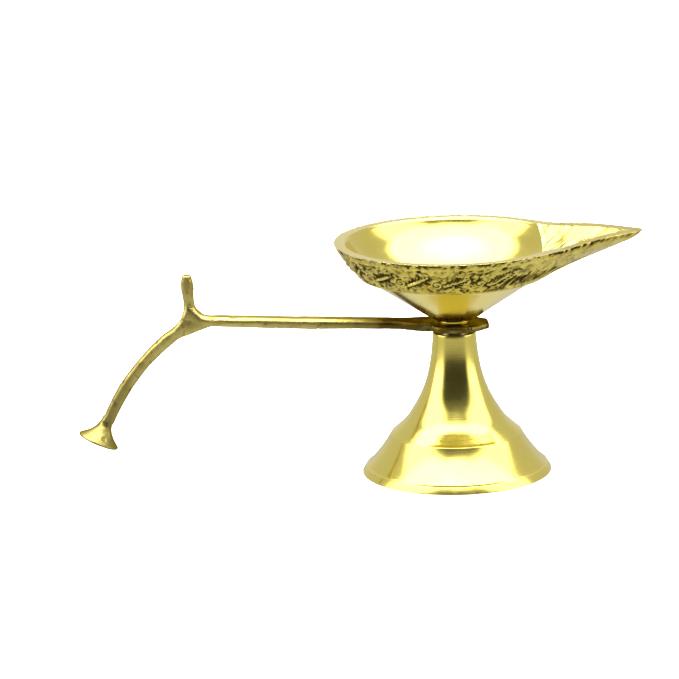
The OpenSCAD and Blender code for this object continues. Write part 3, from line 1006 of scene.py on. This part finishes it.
def nut():
    """The hexagon nut, chamfered outside and threaded inside."""
    low, high = corners("nut")
    bottom, top = low[2] + GAP, high[2] - GAP
    flats = (high[1] - low[1]) / 2
    side_z = np.linspace(bottom, top, 29)
    bore_z = np.linspace(top, bottom, 33)[1:-1]
    outline = np.concatenate([
        [[BORE_R + 0.35, bottom], [mix(BORE_R, flats, 0.5), bottom], [flats - 0.1, bottom]],
        np.stack([np.full(len(side_z), flats), side_z], axis=1),
        [[flats - 0.1, top], [mix(BORE_R, flats, 0.5), top], [BORE_R + 0.35, top]],
        np.stack([np.full(len(bore_z), BORE_R), bore_z], axis=1),
    ])
    cut = thread(0.35)
    count = len(outline)
    first_side, last_side = 3, 3 + len(side_z)
    row = np.arange(count)[:, None]

    def radius_of(r, z, angle):
        hexagon = flats / np.cos((angle + np.pi / 6) % (np.pi / 3) - np.pi / 6)
        chamfer = flats - 0.05 + np.minimum(z - bottom, top - z) * 1.75
        side = (row >= first_side) & (row < last_side)
        hole = row >= last_side + 3
        r = np.where(side, np.minimum(hexagon, chamfer), r)
        mouth = np.clip(0.3 - np.minimum(z - bottom, top - z), 0, 0.3)
        return np.where(hole, r + np.maximum(0.3 - cut(z, angle), mouth), r)

    return turned("nut_hex", outline, 192, [STEEL], radius_of=radius_of)


# ------------------------------------------------------------------ build and ride
def place(obj, body, node):
    """Puts a piece on its body, in place of its CAD node."""
    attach(obj, body)
    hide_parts(node)


place(pedestal(), "pedestal", "pedestal")
place(bowl(), "bowl", "bowl")
place(handle(), "handle", "handle")
place(washer("seat_washer_disc", "seat_washer"), "pedestal", "seat_washer")
place(washer("nut_washer_disc", "nut_washer"), "nut_washer", "nut_washer")
place(stud(), "bowl", "stud")
place(nut(), "nut", "nut")


# ------------------------------------------------------------------ stage, light and camera
def floor():
    """A white sheet. The brass doesn't mirror it: its mirror image is the lower half of the studio."""
    mesh = bpy.data.meshes.new("floor")
    half = 6.0
    corner_points = [(-half, -half, 0), (half, -half, 0), (half, half, 0), (-half, half, 0)]
    mesh.from_pydata(corner_points, [], [(0, 1, 2, 3)])
    paper = Finish("floor_paper")
    paper.finish(
        Base_Color=(0.9, 0.9, 0.9, 1), Roughness=0.9, Emission_Color=(1, 1, 1, 1), Emission_Strength=0.5
    )
    mesh.materials.append(paper.material)
    obj = bpy.data.objects.new("floor", mesh)
    obj.location.z = -0.00002
    obj.visible_glossy = False
    bpy.context.scene.collection.objects.link(obj)


def studio():
    """A light tent: bright above and at both sides, grey behind, with a wide dark opening at the camera.

    Turn is the angle from the camera's side in degrees, and height is the angle above the horizon.
    """
    wall, left_panel, right_panel, top_panel, overhead, opening = 0.62, 3.0, 2.7, 4.4, 6.5, 0.05
    near_floor, far_floor = 0.78, 0.60
    world = bpy.data.worlds.new("tent")
    bpy.context.scene.world = world
    world.use_nodes = True
    g = Graph(world.node_tree)
    x, y, z = g.add("ShaderNodeSeparateXYZ", {0: g.add("ShaderNodeTexCoord").outputs["Generated"]}).outputs
    degrees = 180 / math.pi
    height = g.product(g.math("ARCSINE", z), degrees)
    turn = g.math("ABSOLUTE", g.product(g.math("ARCTAN2", x, g.product(y, -1.0)), degrees))

    light = g.remap(turn, 140.0, 175.0, wall, wall + 0.15)
    side_panel = g.remap(x, -0.1, 0.1, left_panel, right_panel)
    light = g.lerp(g.product(g.step(turn, 104, 96), g.step(height, -6, 6)), light, side_panel)
    light = g.lerp(g.step(height, 42, 50), light, g.remap(height, 62.0, 78.0, top_panel, overhead))
    above = g.math("MAXIMUM", g.math("SUBTRACT", height, 20.0), 0.0)
    edge = g.math("ADD", turn, g.product(above, above, 0.032))
    shade = g.remap(height, 32.0, 47.0, opening, 0.24)
    light = g.lerp(g.product(g.step(edge, 68, 46), g.step(height, 52, 47)), light, shade)
    under = g.lerp(g.step(height, -15, -50), far_floor, near_floor)
    light = g.lerp(g.step(height, 2, -5), light, under)
    background = world.node_tree.nodes["Background"]
    g.link(light, background.inputs["Strength"])
    background.inputs["Color"].default_value = (1, 1, 1, 1)


def camera():
    """The viewing angle: level turn 0, a little above, rolled slightly, from well back."""
    target = Vector((-0.0369, 0, 0.0443))
    distance, elevation, roll = 1.2345, math.radians(13.94), math.radians(1.66)
    data = bpy.data.cameras.new("camera")
    data.sensor_width, data.lens = 36.0, 203.8
    data.clip_start, data.clip_end = 0.05, 30
    obj = bpy.data.objects.new("camera", data)
    back = Vector((0, -math.cos(elevation), math.sin(elevation)))
    up = Vector((0, math.sin(elevation), math.cos(elevation)))
    right = Vector((1, 0, 0))
    x_axis = right * math.cos(roll) - up * math.sin(roll)
    y_axis = right * math.sin(roll) + up * math.cos(roll)
    turn = Matrix((x_axis, y_axis, back)).transposed()
    obj.matrix_world = Matrix.Translation(target + back * distance) @ turn.to_4x4()
    bpy.context.scene.collection.objects.link(obj)
    bpy.context.scene.camera = obj


floor()
studio()
camera()
bpy.context.scene.view_settings.view_transform = "Standard"
